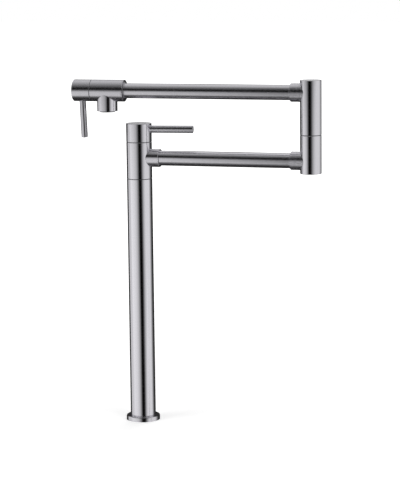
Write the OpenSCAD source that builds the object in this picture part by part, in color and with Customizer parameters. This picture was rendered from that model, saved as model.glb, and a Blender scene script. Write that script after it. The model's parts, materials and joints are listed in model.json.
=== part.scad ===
// Deck-mounted pot filler with two swinging arms and two quarter-turn valves.
// The origin is on the column's axis, on the worktop. +Z is up and +X runs along the lower arm.
// Both arms are folded over each other, and both valves are closed.

/* [Arms] */
// Height of the lower arm's centre line above the worktop
lower_arm_height = 393; // [250:1:500]
// Height of the upper arm's centre line above the lower arm's
arm_rise = 98; // [88:1:150]
// Distance from the column's axis to the elbow's axis
lower_reach = 258; // [180:1:300]
// Distance from the elbow's axis to the outlet's axis
upper_reach = 306; // [280:1:420]
// Outer diameter of the arm tubes
arm_d = 22; // [18:0.1:24]
// Wall of the arm tubes
arm_wall = 1.2; // [0.8:0.1:2]
// Outer diameter of the collars that hold the arm tubes
collar_d = 26.4; // [25:0.1:29]
// How far each collar stands out from the wall it is brazed to
collar_out = 13.5; // [6:0.1:20]
// Chamfer on the outer edge of each collar
collar_chamfer = 0.4; // [0.2:0.1:1.2]
// Metal left between a waterway and the end of the tube that feeds it
seat_web = 0.8; // [0.5:0.1:1.2]
// Radius of the port between an arm tube and the body it enters
arm_port_r = 8; // [5:0.1:8.5]

/* [Base] */
// How far the base flange stands out past the column
flange_out = 6.2; // [5.5:0.1:15]
// Height of the base flange
flange_height = 7; // [6.5:0.1:15]
// Rounding of the base flange's upper edge
flange_round = 1.8; // [0.5:0.1:2.5]
// How far the base plug's lip stands out past the column
lip_out = 3; // [2:0.1:4]
// Thickness of the base plug's lip
lip_t = 3; // [2.5:0.1:3.5]
// Width of the gasket ring under the base plug
gasket_w = 4; // [2:0.1:4.5]
// Thickness of the gasket ring
gasket_t = 1.5; // [1:0.1:1.8]
// Metal left outside the gasket ring
gasket_rim = 1; // [0.5:0.1:1.2]
// Bore of the threaded water inlet, at its tapping size
inlet_d = 15; // [10:0.1:16]
// Depth of the threaded water inlet
inlet_depth = 12; // [8:0.5:20]
// Bore of the two threaded holes for the fixing studs
stud_hole_d = 5; // [4:0.1:5.2]
// Depth of the holes for the fixing studs
stud_depth = 14; // [8:0.5:20]
// Metal left between a stud hole and the side of the base plug
stud_wall = 2.2; // [1.5:0.1:2.5]
// Metal left between the water inlet and the supply pipe's socket
plug_web = 8; // [4:0.5:15]

/* [Column] */
// Outer diameter of the column
column_d = 37.5; // [36:0.1:44]
// Wall of the column tube
column_wall = 1.5; // [1:0.1:2]
// Outer diameter of the supply pipe inside the column
pipe_d = 12; // [10:0.1:14]
// Wall of the supply pipe
pipe_wall = 1; // [0.6:0.1:1.5]
// Thickness of the rubber rings in the supply pipe's sockets
pipe_cord = 1.6; // [1.2:0.1:2]
// Depth of the sockets at the ends of the supply pipe
pipe_socket = 12; // [8:0.5:16]
// Length of the stem that is brazed into the top of the column tube
stem_spigot = 18; // [16.5:0.5:30]

/* [Column swivel] */
// Diameter of the stem that the lower arm turns on
stem_d = 28; // [26:0.1:29]
// How far the turning sleeve reaches below the lower arm's centre line
sleeve_below = 30.2; // [20:0.1:45]
// How far the turning sleeve reaches above the lower arm's centre line
sleeve_above = 23.1; // [21:0.1:35]
// Depth of the cup in the top of the sleeve
sleeve_cup = 4; // [3.5:0.1:6]
// Width of the ledge in the cup, which the upper glide ring rides on
sleeve_ledge = 2.5; // [2:0.1:2.8]
// Thickness of the upper glide ring
upper_glide_t = 1; // [0.6:0.1:1.2]
// Thickness of the retaining clip on the stem
circlip_t = 1; // [0.6:0.1:1.1]
// Depth of the clip's groove in the stem
circlip_groove = 1.2; // [0.8:0.1:1.5]
// Height of the water groove round the stem
water_groove_h = 12; // [8:0.5:14]
// Depth of the water groove round the stem
water_groove_depth = 1.5; // [1:0.1:1.8]
// Diameter of the radial ports in the stem
stem_port_d = 6; // [4:0.1:7]
// Thickness of the rubber rings on the stem
swivel_cord = 2.2; // [1.6:0.1:2.4]
// Distance from the water groove's edge to the middle of each rubber ring
swivel_seal_gap = 4.5; // [3:0.1:6]
// Width of the opening in the retaining clips
circlip_opening = 5; // [3:0.1:6]

/* [Elbow] */
// Diameter of the elbow
elbow_d = 31; // [29:0.1:34]
// How far the elbow reaches past the centre line of each arm
elbow_end = 18.1; // [15:0.1:25]
// How far the elbow's lower half reaches above the lower arm's centre line
elbow_lower_above = 37.1; // [32:0.1:42]
// Diameter of the waterway inside the elbow
elbow_bore_d = 16; // [12:0.1:17]
// Metal left below the waterway in the elbow's lower half
elbow_floor = 6; // [3:0.1:8]
// Diameter of the bearing length of the elbow's spindle
elbow_journal_d = 15; // [13:0.1:15.6]
// Bore through the elbow's spindle
elbow_spindle_bore = 9; // [6:0.1:9.5]
// Diameter of the threaded foot of the elbow's spindle
elbow_foot_d = 19; // [17.5:0.1:22]
// Length of the threaded foot of the elbow's spindle
elbow_foot_len = 14; // [8:0.5:18]
// Length of the bearing bore in the elbow's upper half
elbow_bearing_len = 26; // [20:0.5:30]
// Diameter of the chamber above the bearing bore
elbow_chamber_d = 19.6; // [18.5:0.1:20]
// Thickness of the rubber rings on the elbow's spindle
elbow_cord = 1.6; // [1.2:0.1:1.8]
// Thickness of the washer between the bearing's shoulder and the clip
thrust_washer_t = 1; // [0.6:0.1:1.5]
// Metal left above the clip's groove in the elbow's spindle
clip_cover = 1; // [0.6:0.1:1.2]
// Diameter of the plug's head in the top of the elbow
elbow_plug_head_d = 24; // [22:0.1:26]
// Thickness of the plug's head
elbow_plug_head_t = 2.5; // [1.5:0.1:3]
// Length of the plug below its head
elbow_plug_len = 6; // [4:0.1:6.5]

/* [Spout] */
// Diameter of the spout body
spout_d = 32; // [31.5:0.1:36]
// How far the spout body reaches from the outlet's axis towards the elbow
spout_inner_len = 27.1; // [25:0.1:45]
// How far the spout body reaches from the outlet's axis towards its handle
spout_outer_len = 22.8; // [21:0.1:40]
// Width of the groove turned round the spout body beside the arm
spout_groove_w = 0.5; // [0.3:0.1:1]
// Depth of the groove turned round the spout body
spout_groove_depth = 0.4; // [0.2:0.1:0.6]
// Width of the rim between that groove and the spout body's end face
spout_groove_rim = 0.7; // [0.5:0.1:2]
// Diameter of the outlet
outlet_d = 30; // [28:0.1:31]
// How far the outlet reaches below the upper arm's centre line
outlet_drop = 30; // [28.5:0.1:45]
// Length of the threaded bore in the outlet
outlet_thread_len = 10; // [9:0.1:12]
// Diameter of the threaded bore in the outlet
outlet_thread_d = 24; // [22:0.1:26]
// Diameter of the waterway down into the outlet
outlet_bore_d = 16; // [10:0.1:18]
// How far the aerator stands out of the outlet
aerator_proud = 1.5; // [0.5:0.1:4]
// Chamfer round the aerator's lower edge
aerator_chamfer = 1.2; // [0.5:0.1:1.4]
// Wall of the aerator's shell
aerator_wall = 2; // [1.2:0.1:2.5]
// Width of the lip that holds the aerator's insert
aerator_lip = 1; // [0.6:0.1:2]
// Height of the lip that holds the aerator's insert
aerator_lip_t = 1.5; // [1:0.1:2.5]
// Thickness of the aerator's gasket
aerator_gasket_t = 1.5; // [1:0.1:2]
// Thickness of the aerator's screen
screen_t = 0.8; // [0.5:0.1:1.2]
// Room above the aerator's screen
screen_room = 0.8; // [0.4:0.1:1.2]
// Diameter of each hole in the aerator's insert
insert_hole_d = 2.4; // [1.5:0.1:2.8]
// Distance between the holes in the aerator's insert
insert_pitch = 3.4; // [3.1:0.1:3.6]
// Diameter of each hole in the aerator's screen
screen_hole_d = 1.2; // [0.8:0.1:1.4]
// Distance between the holes in the aerator's screen
screen_pitch = 2.4; // [2.2:0.1:3]
// Length of the bush that the upper arm enters the spout body through
bush_len = 8; // [6:0.1:9]
// Thickness of the bush's flange
bush_flange_t = 1.5; // [1:0.1:2]
// Width of the bush's flange past its thread
bush_flange_w = 1.1; // [0.6:0.1:1.5]
// Wall of the bush round the arm tube
bush_wall = 2; // [1.5:0.1:2.6]
// Thickness of the stop inside the bush, which the arm tube ends on
bush_stop = 2; // [1:0.1:3]
// How far the bush's nose stands out of the spout body's end face
bush_nose = 1.4; // [0.5:0.1:2.5]
// Wall of the bush's nose round the arm tube
bush_nose_wall = 1.6; // [1:0.1:2]
// Thickness of the seal behind the bush
bush_seal_t = 1.5; // [1:0.1:2]

/* [Valves] */
// Outer diameter of each valve cartridge
cartridge_d = 20; // [19:0.1:21]
// Diameter of the ceramic discs
disc_d = 16; // [15:0.1:17]
// Thickness of each ceramic disc
disc_t = 3; // [2:0.1:4]
// Height of the rubber seal under the fixed disc
seal_t = 2.4; // [1.5:0.1:3]
// Width of the rubber seal under the fixed disc
seal_w = 1.8; // [1:0.1:2.2]
// How far the rubber seal stands out of the cartridge
seal_proud = 0.3; // [0.1:0.1:0.6]
// Angle that each of a disc's two ports spans
port_angle = 80; // [50:1:85]
// Inner radius of the disc ports
port_inner_r = 2.4; // [1.8:0.1:3]
// Outer radius of the disc ports
port_outer_r = 6; // [4.5:0.1:6.1]
// Height of the windows in the cartridge's side
window_h = 7; // [5:0.1:9]
// Width of the windows in the cartridge's side
window_w = 9; // [5:0.1:11]
// Depth of the waist round the cartridge's windows
waist_depth = 0.7; // [0.3:0.1:0.9]
// Room between the top of the windows and the gland
chamber_room = 0.5; // [0.2:0.1:1.5]
// Length of the gland that the valve spindle turns in
gland_len = 9; // [8:0.1:11]
// Diameter of the valve spindles
spindle_d = 9; // [8:0.1:10]
// Width of the square at the end of a valve spindle
square_w = 6.3; // [5:0.1:6.5]
// Length of the square at the end of a valve spindle
square_len = 12; // [9:0.1:12.3]
// Width of the spindle's foot, which turns the moving disc
foot_w = 4; // [3:0.1:4.5]
// Length of the spindle's foot
foot_len = 13; // [11:0.1:14]
// Height of the spindle's foot above the moving disc
foot_h = 2.5; // [2:0.1:3]
// Depth of the slot in the moving disc
foot_slot = 1.2; // [0.8:0.1:1.8]
// Width of the shoulder that keeps the spindle in
shoulder_w = 2; // [1:0.1:2.5]
// Thickness of the rubber rings on the valve spindles
spindle_cord = 1.6; // [1.2:0.1:1.8]
// Width across the flats of the cartridge nuts
nut_flats = 22; // [21.6:0.1:23]
// Height of the hexagon of the cartridge nuts
nut_head = 4; // [3:0.1:5]
// How far the valve housings stop short of the seams
housing_recess = 1; // [0.5:0.1:2]

/* [Handles] */
// Length of each handle cap
cap_len = 27; // [26.5:0.1:40]
// Gap at the seam under each handle cap
seam_gap = 0.8; // [0.4:0.1:1.5]
// Chamfer round the edges of the caps, the elbow and the spout body
edge_chamfer = 0.5; // [0.2:0.1:1]
// Diameter of the column's lever
column_lever_d = 11; // [7.5:0.1:11.5]
// Distance from the column's axis to its lever's tip
column_lever_reach = 80.8; // [40:0.1:81]
// Height of the column's lever above its seam
column_lever_up = 18.2; // [17.5:0.1:19.5]
// Angle of the column's lever behind the arm when its valve is closed
column_lever_turn = 6; // [0:1:15]
// Diameter of the spout's lever
spout_lever_d = 9.4; // [7.5:0.1:11.5]
// Distance from the spout body's axis to its lever's tip
spout_lever_reach = 70.1; // [35:0.1:72]
// Distance from the spout's handle seam to its lever
spout_lever_out = 15.2; // [13:0.1:19]
// Angle of the spout's lever behind the vertical when its valve is closed
spout_lever_lean = 6; // [0:1:15]
// Depth of the seat in the cap that the lever's shoulder rests in
lever_seat = 1.5; // [0.8:0.1:2.5]
// Diameter of the levers' threaded studs
lever_stud_d = 6; // [4:0.1:6.5]
// Metal left between a lever's stud and the spindle's square
stud_tip_web = 1; // [0.5:0.1:2]
// Chamfer at the levers' tips
lever_chamfer = 0.4; // [0.2:0.1:1.5]
// Diameter of the grub screws in the caps
grub_d = 4; // [3:0.1:5]
// Length of the grub screws in the caps
grub_len = 6; // [4:0.1:8]
// Height of the grub screws above the seams
grub_up = 8.5; // [6:0.1:9.5]
// Width across the flats of the key sockets in the grub screws
grub_key = 2; // [1.3:0.1:2.5]

/* [Clearances] */
// Gap between surfaces that turn or slide on each other
run_gap = 0.05; // [0.02:0.01:0.1]
// Gap round brazed, threaded and seated pieces
fit_gap = 0.05; // [0.02:0.01:0.1]
// Gap round pieces that drop in loosely
slip_gap = 0.2; // [0.1:0.05:0.3]
// Thickness of the glide rings in the column's and the elbow's seams
glide_t = 0.8; // [0.4:0.1:1.5]
// How far the glide rings lie back from the outer surface
glide_recess = 0.6; // [0.3:0.1:1]

/* [Hidden] */
$fn = 96;
// How far cutting shapes run past the faces that they cut
cut = 1;
// How far shapes of one solid run into each other
weld = 0.5;

column_r = column_d / 2;
tube_bore_r = column_r - column_wall;
plug_r = tube_bore_r - fit_gap;
pipe_r = pipe_d / 2;
pipe_bore_r = pipe_r - pipe_wall;
arm_r = arm_d / 2;
arm_bore_r = arm_r - arm_wall;
collar_r = collar_d / 2;

// Base, from the worktop up
lip_r = column_r + lip_out;
flange_r = column_r + flange_out;
flange_bore_r = column_r + slip_gap;
flange_pocket_r = lip_r + slip_gap;
flange_pocket_h = lip_t + slip_gap;
grip_cord = (flange_height - flange_pocket_h) / 2;
grip_z = flange_pocket_h + grip_cord;
gasket_r = lip_r - gasket_rim;
gasket_bore_r = gasket_r - gasket_w;
stud_offset = plug_r - stud_wall - stud_hole_d / 2;
plug_len = inlet_depth + plug_web + pipe_socket;
pipe_bottom = inlet_depth + plug_web;

// Column swivel, measured from the lower arm's centre line
stem_r = stem_d / 2;
sleeve_bore_r = stem_r + run_gap;
sleeve_bottom = lower_arm_height - sleeve_below;
sleeve_top = lower_arm_height + sleeve_above;
column_top = sleeve_bottom - run_gap - glide_t;
stem_bottom = column_top - stem_spigot;
pipe_top = stem_bottom + pipe_socket;
cup_floor = sleeve_top - sleeve_cup;
clip_z = cup_floor + upper_glide_t + 2 * run_gap;
cup_r = sleeve_bore_r + sleeve_ledge;
swivel_seal_z = water_groove_h / 2 + swivel_seal_gap;

// Valves, measured from the seat along each valve's own axis
cartridge_r = cartridge_d / 2;
housing_r = cartridge_r + fit_gap;
disc_r = disc_d / 2;
chamber_r = disc_r + 2 * fit_gap;
moving_disc_z = seal_t + disc_t + run_gap;
window_z = moving_disc_z + disc_t;
window_mid = window_z + window_h / 2;
gland_z = window_z + window_h + chamber_room;
cartridge_top = gland_z + gland_len;
spindle_r = spindle_d / 2;
nut_corner_r = nut_flats / 2 / cos(30);
nut_pocket_r = nut_corner_r + 2 * slip_gap;
column_housing_top = window_mid + sleeve_above - housing_recess;
spout_housing_top = window_mid + spout_outer_len - housing_recess;
column_cap_z = window_mid + sleeve_above + seam_gap;
spout_cap_z = window_mid + spout_outer_len + seam_gap;
column_seat_z = lower_arm_height - window_mid;

// Elbow
upper_arm_height = lower_arm_height + arm_rise;
elbow_r = elbow_d / 2;
elbow_bottom = lower_arm_height - elbow_end;
elbow_top = upper_arm_height + elbow_end;
elbow_lower_top = lower_arm_height + elbow_lower_above;
elbow_upper_bottom = elbow_lower_top + glide_t + run_gap;
elbow_bore_r = elbow_bore_d / 2;
journal_r = elbow_journal_d / 2;
bearing_r = journal_r + run_gap;
elbow_foot_r = elbow_foot_d / 2;
elbow_foot_z = elbow_lower_top - elbow_foot_len;
bearing_top = elbow_upper_bottom + elbow_bearing_len;
elbow_chamber_r = elbow_chamber_d / 2;
elbow_clip_z = bearing_top + thrust_washer_t + 2 * run_gap;
elbow_spindle_top = elbow_clip_z + circlip_t + run_gap + clip_cover;
plug_head_r = elbow_plug_head_d / 2;
plug_shoulder = elbow_top - elbow_plug_head_t;

// Spout, with its axis along the upper arm
outlet_x = lower_reach - upper_reach;
spout_r = spout_d / 2;
spout_inner_end = outlet_x + spout_inner_len;
spout_outer_end = outlet_x - spout_outer_len;
spout_seat_x = outlet_x + window_mid;
bush_thread_r = arm_r + bush_wall;
bush_flange_r = bush_thread_r + bush_flange_w;
bush_nose_r = arm_r + bush_nose_wall;
bush_nose_end = spout_inner_end + bush_nose;
bush_inner_end = spout_inner_end - bush_len;
bush_pocket_end = bush_inner_end - bush_seal_t;
upper_tube_end = bush_inner_end + bush_stop;

// Outlet and aerator, as heights
outlet_r = outlet_d / 2;
outlet_bottom = upper_arm_height - outlet_drop;
outlet_thread_r = outlet_thread_d / 2;
outlet_shoulder = outlet_bottom + outlet_thread_len;
aerator_bottom = outlet_bottom - aerator_proud;
aerator_top = outlet_shoulder - aerator_gasket_t;
aerator_r = outlet_thread_r - fit_gap;
aerator_bore_r = aerator_r - aerator_wall;
insert_bottom = aerator_bottom + aerator_lip_t;
screen_z = aerator_top - screen_room - screen_t;

// Where each arm tube starts and ends
lower_tube_start = sleeve_bore_r + seat_web;
elbow_tube_inset = elbow_chamber_r + seat_web;
lower_tube_end = lower_reach - elbow_tube_inset;
upper_tube_start = lower_reach - elbow_tube_inset;

steel = [0.72, 0.71, 0.73];
steel_dark = [0.6, 0.59, 0.61];
brass = [0.8, 0.65, 0.35];
rubber = [0.12, 0.12, 0.12];
ceramic = [0.92, 0.92, 0.88];
plastic = [0.85, 0.85, 0.82];
dark_plastic = [0.2, 0.2, 0.21];

// General shapes

// A round bar with its foot at z = 0 and a chamfer on each end
module turned_bar(r, h, lower_edge = 0, upper_edge = 0) {
    rotate_extrude()
        polygon([
            [0, 0],
            [r - lower_edge, 0],
            [r, lower_edge],
            [r, h - upper_edge],
            [r - upper_edge, h],
            [0, h]
        ]);
}

// A flat ring between two heights
module ring(r_out, r_in, from, to) {
    translate([0, 0, from])
        difference() {
            cylinder(r = r_out, h = to - from);
            translate([0, 0, -cut])
                cylinder(r = r_in, h = to - from + 2 * cut);
        }
}

// A round hole or bar between two heights
module bore(r, from, to) {
    translate([0, 0, from])
        cylinder(r = r, h = to - from);
}

// A rubber ring of round section, lying on a shaft of radius r at height z
module o_ring(r, cord, z) {
    translate([0, 0, z])
        rotate_extrude()
            translate([r + cord / 2, 0])
                circle(d = cord, $fn = 32);
}

// The groove that such a rubber ring lies in, cut from a shaft of radius r
module seal_groove(r, cord, z) {
    half = cord / 2 + slip_gap / 2;
    difference() {
        bore(r + cut, z - half, z + half);
        bore(r - cord - run_gap, z - half - cut, z + half + cut);
    }
}

// An open spring clip between two radii
module circlip(r_out, r_in, from) {
    difference() {
        ring(r_out, r_in, from, from + circlip_t);
        translate([-r_out - cut, -circlip_opening / 2, from - cut])
            cube([r_out + cut, circlip_opening, circlip_t + 2 * cut]);
    }
}

// Turns a shape built along +Z so that it runs along +X
module along_x() {
    rotate([0, 90, 0])
        children();
}

// A place on the elbow's axis
module at_elbow() {
    translate([lower_reach, 0, 0])
        children();
}

// A place on the outlet's axis
module at_outlet() {
    translate([outlet_x, 0, 0])
        children();
}

// The column valve's own place, with its seat at z = 0
module at_column_valve() {
    translate([0, 0, column_seat_z])
        children();
}

// The spout valve's own place, with its seat at z = 0 and its handle end towards -X
module at_spout_valve() {
    translate([spout_seat_x, 0, upper_arm_height])
        rotate([0, -90, 0])
            rotate([0, 0, 180])
                children();
}

// The pieces that turn with the column's handle
module with_column_handle() {
    at_column_valve()
        rotate([0, 0, column_lever_turn])
            children();
}

// The pieces that turn with the spout's handle
module with_spout_handle() {
    at_spout_valve()
        rotate([0, 0, -spout_lever_lean])
            children();
}

// Pieces that both valves share

module cartridge_seal() {
    color(rubber)
        ring(disc_r, disc_r - seal_w, 0, seal_t);
}

// Two opposite ports through a ceramic disc, the first one centred on the given angle
module disc_ports(from, to, angle) {
    for (side = [0, 180])
        rotate([0, 0, angle + side - port_angle / 2])
            translate([0, 0, from - cut])
                rotate_extrude(angle = port_angle)
                    translate([port_inner_r, 0])
                        square([port_outer_r - port_inner_r, to - from + 2 * cut]);
}

module fixed_disc() {
    color(ceramic)
        difference() {
            bore(disc_r, seal_t, seal_t + disc_t);
            disc_ports(seal_t, seal_t + disc_t, 90);
        }
}

module moving_disc() {
    top = moving_disc_z + disc_t;
    color(ceramic)
        difference() {
            bore(disc_r - fit_gap, moving_disc_z, top);
            disc_ports(moving_disc_z, top, 0);
            translate([-foot_w / 2 - fit_gap, -disc_r - cut, top - foot_slot])
                cube([foot_w + 2 * fit_gap, disc_d + 2 * cut, foot_slot + cut]);
        }
}

module cartridge_body() {
    color(brass)
        difference() {
            bore(cartridge_r, seal_proud, cartridge_top);
            bore(chamber_r, seal_proud - cut, gland_z);
            bore(spindle_r + run_gap, gland_z - cut, cartridge_top + cut);
            translate([-cartridge_r - cut, -window_w / 2, window_z])
                cube([cartridge_d + 2 * cut, window_w, window_h]);
            ring(cartridge_r + cut, cartridge_r - waist_depth, window_z, window_z + window_h);
        }
}

module valve_spindle(housing_top) {
    foot_bottom = window_z - foot_slot + fit_gap;
    foot_top = window_z + foot_h;
    square_bottom = housing_top + nut_head + slip_gap;
    color(brass)
        difference() {
            union() {
                translate([-foot_w / 2, -foot_len / 2, foot_bottom])
                    cube([foot_w, foot_len, foot_top - foot_bottom]);
                bore(spindle_r, foot_top - weld, square_bottom);
                bore(spindle_r + shoulder_w, gland_z - shoulder_w, gland_z - run_gap);
                translate([-square_w / 2, -square_w / 2, square_bottom - weld])
                    cube([square_w, square_w, square_len + weld]);
            }
            for (z = spindle_seal_heights())
                seal_groove(spindle_r, spindle_cord, z);
        }
}

// The two rubber rings on a valve spindle divide its gland into thirds
function spindle_seal_heights() = [gland_z + gland_len / 3, gland_z + gland_len * 2 / 3];

module spindle_seals() {
    color(rubber)
        for (z = spindle_seal_heights())
            o_ring(spindle_r - spindle_cord, spindle_cord, z);
}

module cartridge_nut(housing_top) {
    color(brass)
        difference() {
            union() {
                bore(cartridge_r, cartridge_top, housing_top + weld);
                translate([0, 0, housing_top])
                    cylinder(r = nut_corner_r, h = nut_head, $fn = 6);
            }
            bore(spindle_r + slip_gap, cartridge_top - cut, housing_top + nut_head + cut);
        }
}

// A handle cap with its seam end at height cap_z and its lever pointing along +X
module handle_cap(cap_r, cap_z, housing_top, lever_r, lever_up, grub_side) {
    nut_top = housing_top + nut_head;
    socket_top = nut_top + slip_gap + square_len + slip_gap;
    seat_r = cap_r - lever_seat;
    color(steel)
        difference() {
            translate([0, 0, cap_z])
                turned_bar(cap_r, cap_len, edge_chamfer / 2, edge_chamfer);
            bore(nut_pocket_r, cap_z - cut, nut_top + slip_gap);
            translate([-square_w / 2 - fit_gap, -square_w / 2 - fit_gap, nut_top])
                cube([square_w + 2 * fit_gap, square_w + 2 * fit_gap, socket_top - nut_top]);
            translate([0, 0, cap_z + lever_up])
                along_x() {
                    bore(lever_r + fit_gap, seat_r, cap_r + cut);
                    bore(lever_stud_d / 2 + fit_gap, stud_inner_end() - fit_gap, cap_r);
                }
            translate([0, 0, cap_z + grub_up])
                rotate([-90 * grub_side, 0, 0])
                    bore(grub_d / 2 + fit_gap, 0, cap_r + cut);
        }
}

// How close the lever's stud comes to the axis, past the corner of the spindle's square
function stud_inner_end() = square_w / 2 * sqrt(2) + stud_tip_web;

// A lever that screws into its cap along +X
module handle_lever(cap_r, cap_z, lever_d, lever_up, reach) {
    seat_r = cap_r - lever_seat;
    color(steel)
        translate([0, 0, cap_z + lever_up])
            along_x() {
                bore(lever_stud_d / 2, stud_inner_end(), seat_r + weld);
                translate([0, 0, seat_r])
                    turned_bar(lever_d / 2, reach - seat_r, 0, lever_chamfer);
            }
}

// The grub screw that locks a cap to its spindle
module handle_screw(cap_z, grub_side) {
    tip = square_w / 2 + fit_gap;
    color(steel_dark)
        translate([0, 0, cap_z + grub_up])
            rotate([-90 * grub_side, 0, 0])
                difference() {
                    bore(grub_d / 2, tip, tip + grub_len);
                    translate([0, 0, tip + grub_len / 2])
                        cylinder(d = grub_key / cos(30), h = grub_len, $fn = 6);
                }
}

// A collar brazed to a round upright wall, lying along +X or -X from the wall's axis
module arm_collar(wall_r, height, side) {
    color(steel)
        difference() {
            translate([0, 0, height])
                rotate([0, side * 90, 0])
                    turned_bar(collar_r, wall_r + collar_out, 0, collar_chamfer);
            translate([0, 0, height])
                rotate([0, side * 90, 0])
                    bore(arm_r + fit_gap, -cut, wall_r + collar_out + cut);
            bore(wall_r + fit_gap, height - collar_d, height + collar_d);
        }
}

// Base

module deck_gasket() {
    color(rubber)
        ring(gasket_r - fit_gap, gasket_bore_r + fit_gap, 0, gasket_t);
}

module deck_flange() {
    color(steel)
        difference() {
            rotate_extrude()
                union() {
                    square([flange_r - flange_round, flange_height]);
                    square([flange_r, flange_height - flange_round]);
                    translate([flange_r - flange_round, flange_height - flange_round])
                        circle(r = flange_round);
                }
            bore(flange_bore_r, -cut, flange_height + cut);
            bore(flange_pocket_r, -cut, flange_pocket_h);
            bore(column_r + grip_cord + fit_gap, grip_z - grip_cord / 2 - fit_gap,
                 grip_z + grip_cord / 2 + fit_gap);
        }
}

module flange_grip_ring() {
    color(rubber)
        o_ring(column_r + fit_gap / 2, grip_cord, grip_z);
}

module base_plug() {
    color(brass)
        difference() {
            union() {
                bore(lip_r, 0, lip_t);
                bore(plug_r, 0, plug_len);
            }
            ring(gasket_r, gasket_bore_r, -cut, gasket_t);
            bore(inlet_d / 2, -cut, inlet_depth);
            bore(pipe_bore_r, 0, plug_len);
            bore(pipe_r + fit_gap, pipe_bottom, plug_len + cut);
            socket_groove(plug_len - pipe_socket / 2);
            for (side = [-1, 1])
                translate([side * stud_offset, 0, 0])
                    bore(stud_hole_d / 2, -cut, stud_depth);
        }
}

// The groove inside a pipe socket, with its middle at height z
module socket_groove(z) {
    half = pipe_cord / 2 + fit_gap;
    bore(pipe_r + pipe_cord + fit_gap, z - half, z + half);
}

// Column

module column_tube() {
    color(steel)
        ring(column_r, tube_bore_r, lip_t, column_top);
}

module supply_pipe() {
    color(brass)
        ring(pipe_r, pipe_bore_r, pipe_bottom, pipe_top);
}

module pipe_seals() {
    color(rubber)
        for (z = [plug_len - pipe_socket / 2, stem_bottom + pipe_socket / 2])
            o_ring(pipe_r + fit_gap / 2, pipe_cord, z);
}

module column_stem() {
    stem_top = column_seat_z + column_housing_top;
    color(brass)
        difference() {
            union() {
                bore(plug_r, stem_bottom, column_top);
                bore(stem_r, column_top - weld, stem_top);
            }
            bore(pipe_r + fit_gap, stem_bottom - cut, pipe_top);
            socket_groove(stem_bottom + pipe_socket / 2);
            bore(pipe_bore_r, pipe_top - cut, column_seat_z + cut);
            bore(housing_r, column_seat_z, stem_top + cut);
            translate([0, 0, lower_arm_height])
                ring(stem_r + cut, stem_r - water_groove_depth, -water_groove_h / 2, water_groove_h / 2);
            for (angle = [0 : 90 : 270])
                translate([0, 0, lower_arm_height])
                    rotate([0, 0, angle])
                        along_x()
                            bore(stem_port_d / 2, 0, stem_r);
            for (side = [-1, 1])
                seal_groove(stem_r, swivel_cord, lower_arm_height + side * swivel_seal_z);
            ring(stem_r + cut, stem_r - circlip_groove, clip_z, clip_z + circlip_t + run_gap);
        }
}

module lower_glide_ring() {
    color(dark_plastic)
        ring(column_r - glide_recess, stem_r + run_gap, column_top, column_top + glide_t);
}

module swivel_seals() {
    color(rubber)
        for (side = [-1, 1])
            o_ring(stem_r - swivel_cord, swivel_cord, lower_arm_height + side * swivel_seal_z);
}

module swivel_circlip() {
    color(steel_dark)
        circlip(cup_r - 2 * slip_gap, stem_r - circlip_groove + fit_gap, clip_z);
}

module column_cartridge_seal() {
    at_column_valve()
        cartridge_seal();
}

module column_fixed_disc() {
    at_column_valve()
        fixed_disc();
}

module column_cartridge_body() {
    at_column_valve()
        cartridge_body();
}

module column_cartridge_nut() {
    at_column_valve()
        cartridge_nut(column_housing_top);
}

// Column handle

module column_moving_disc() {
    with_column_handle()
        moving_disc();
}

module column_spindle() {
    with_column_handle()
        valve_spindle(column_housing_top);
}

module column_spindle_seals() {
    with_column_handle()
        spindle_seals();
}

module column_handle_cap() {
    with_column_handle()
        handle_cap(column_r, column_cap_z, column_housing_top, column_lever_d / 2, column_lever_up, 1);
}

module column_lever() {
    with_column_handle()
        handle_lever(column_r, column_cap_z, column_lever_d, column_lever_up, column_lever_reach);
}

module column_handle_screw() {
    with_column_handle()
        handle_screw(column_cap_z, 1);
}

// Lower arm

module swivel_sleeve() {
    color(steel)
        difference() {
            translate([0, 0, sleeve_bottom])
                turned_bar(column_r, sleeve_above + sleeve_below, edge_chamfer / 2, edge_chamfer / 2);
            bore(sleeve_bore_r, sleeve_bottom - cut, sleeve_top + cut);
            bore(cup_r, cup_floor, sleeve_top + cut);
            translate([0, 0, lower_arm_height])
                along_x() {
                    bore(arm_port_r, 0, column_r + cut);
                    bore(arm_r + fit_gap, lower_tube_start, column_r + cut);
                }
        }
}

module upper_glide_ring() {
    color(dark_plastic)
        ring(cup_r - slip_gap, sleeve_bore_r + slip_gap, cup_floor, cup_floor + upper_glide_t);
}

module swivel_arm_collar() {
    arm_collar(column_r, lower_arm_height, 1);
}

module lower_arm_tube() {
    color(steel)
        translate([0, 0, lower_arm_height])
            along_x()
                ring(arm_r, arm_bore_r, lower_tube_start, lower_tube_end);
}

module elbow_lower_collar() {
    at_elbow()
        arm_collar(elbow_r, lower_arm_height, -1);
}

module elbow_lower_body() {
    color(steel)
        at_elbow()
            difference() {
                translate([0, 0, elbow_bottom])
                    turned_bar(elbow_r, elbow_lower_top - elbow_bottom, edge_chamfer, edge_chamfer / 2);
                bore(elbow_bore_r, elbow_bottom + elbow_floor, elbow_lower_top + cut);
                bore(elbow_foot_r + fit_gap, elbow_foot_z, elbow_lower_top + cut);
                arm_entry(lower_arm_height);
            }
}

// The port and the tube socket that let an arm into the elbow from the -X side
module arm_entry(height) {
    translate([0, 0, height])
        rotate([0, -90, 0]) {
            bore(arm_port_r, 0, elbow_r + cut);
            bore(arm_r + fit_gap, elbow_tube_inset, elbow_r + cut);
        }
}

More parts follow.
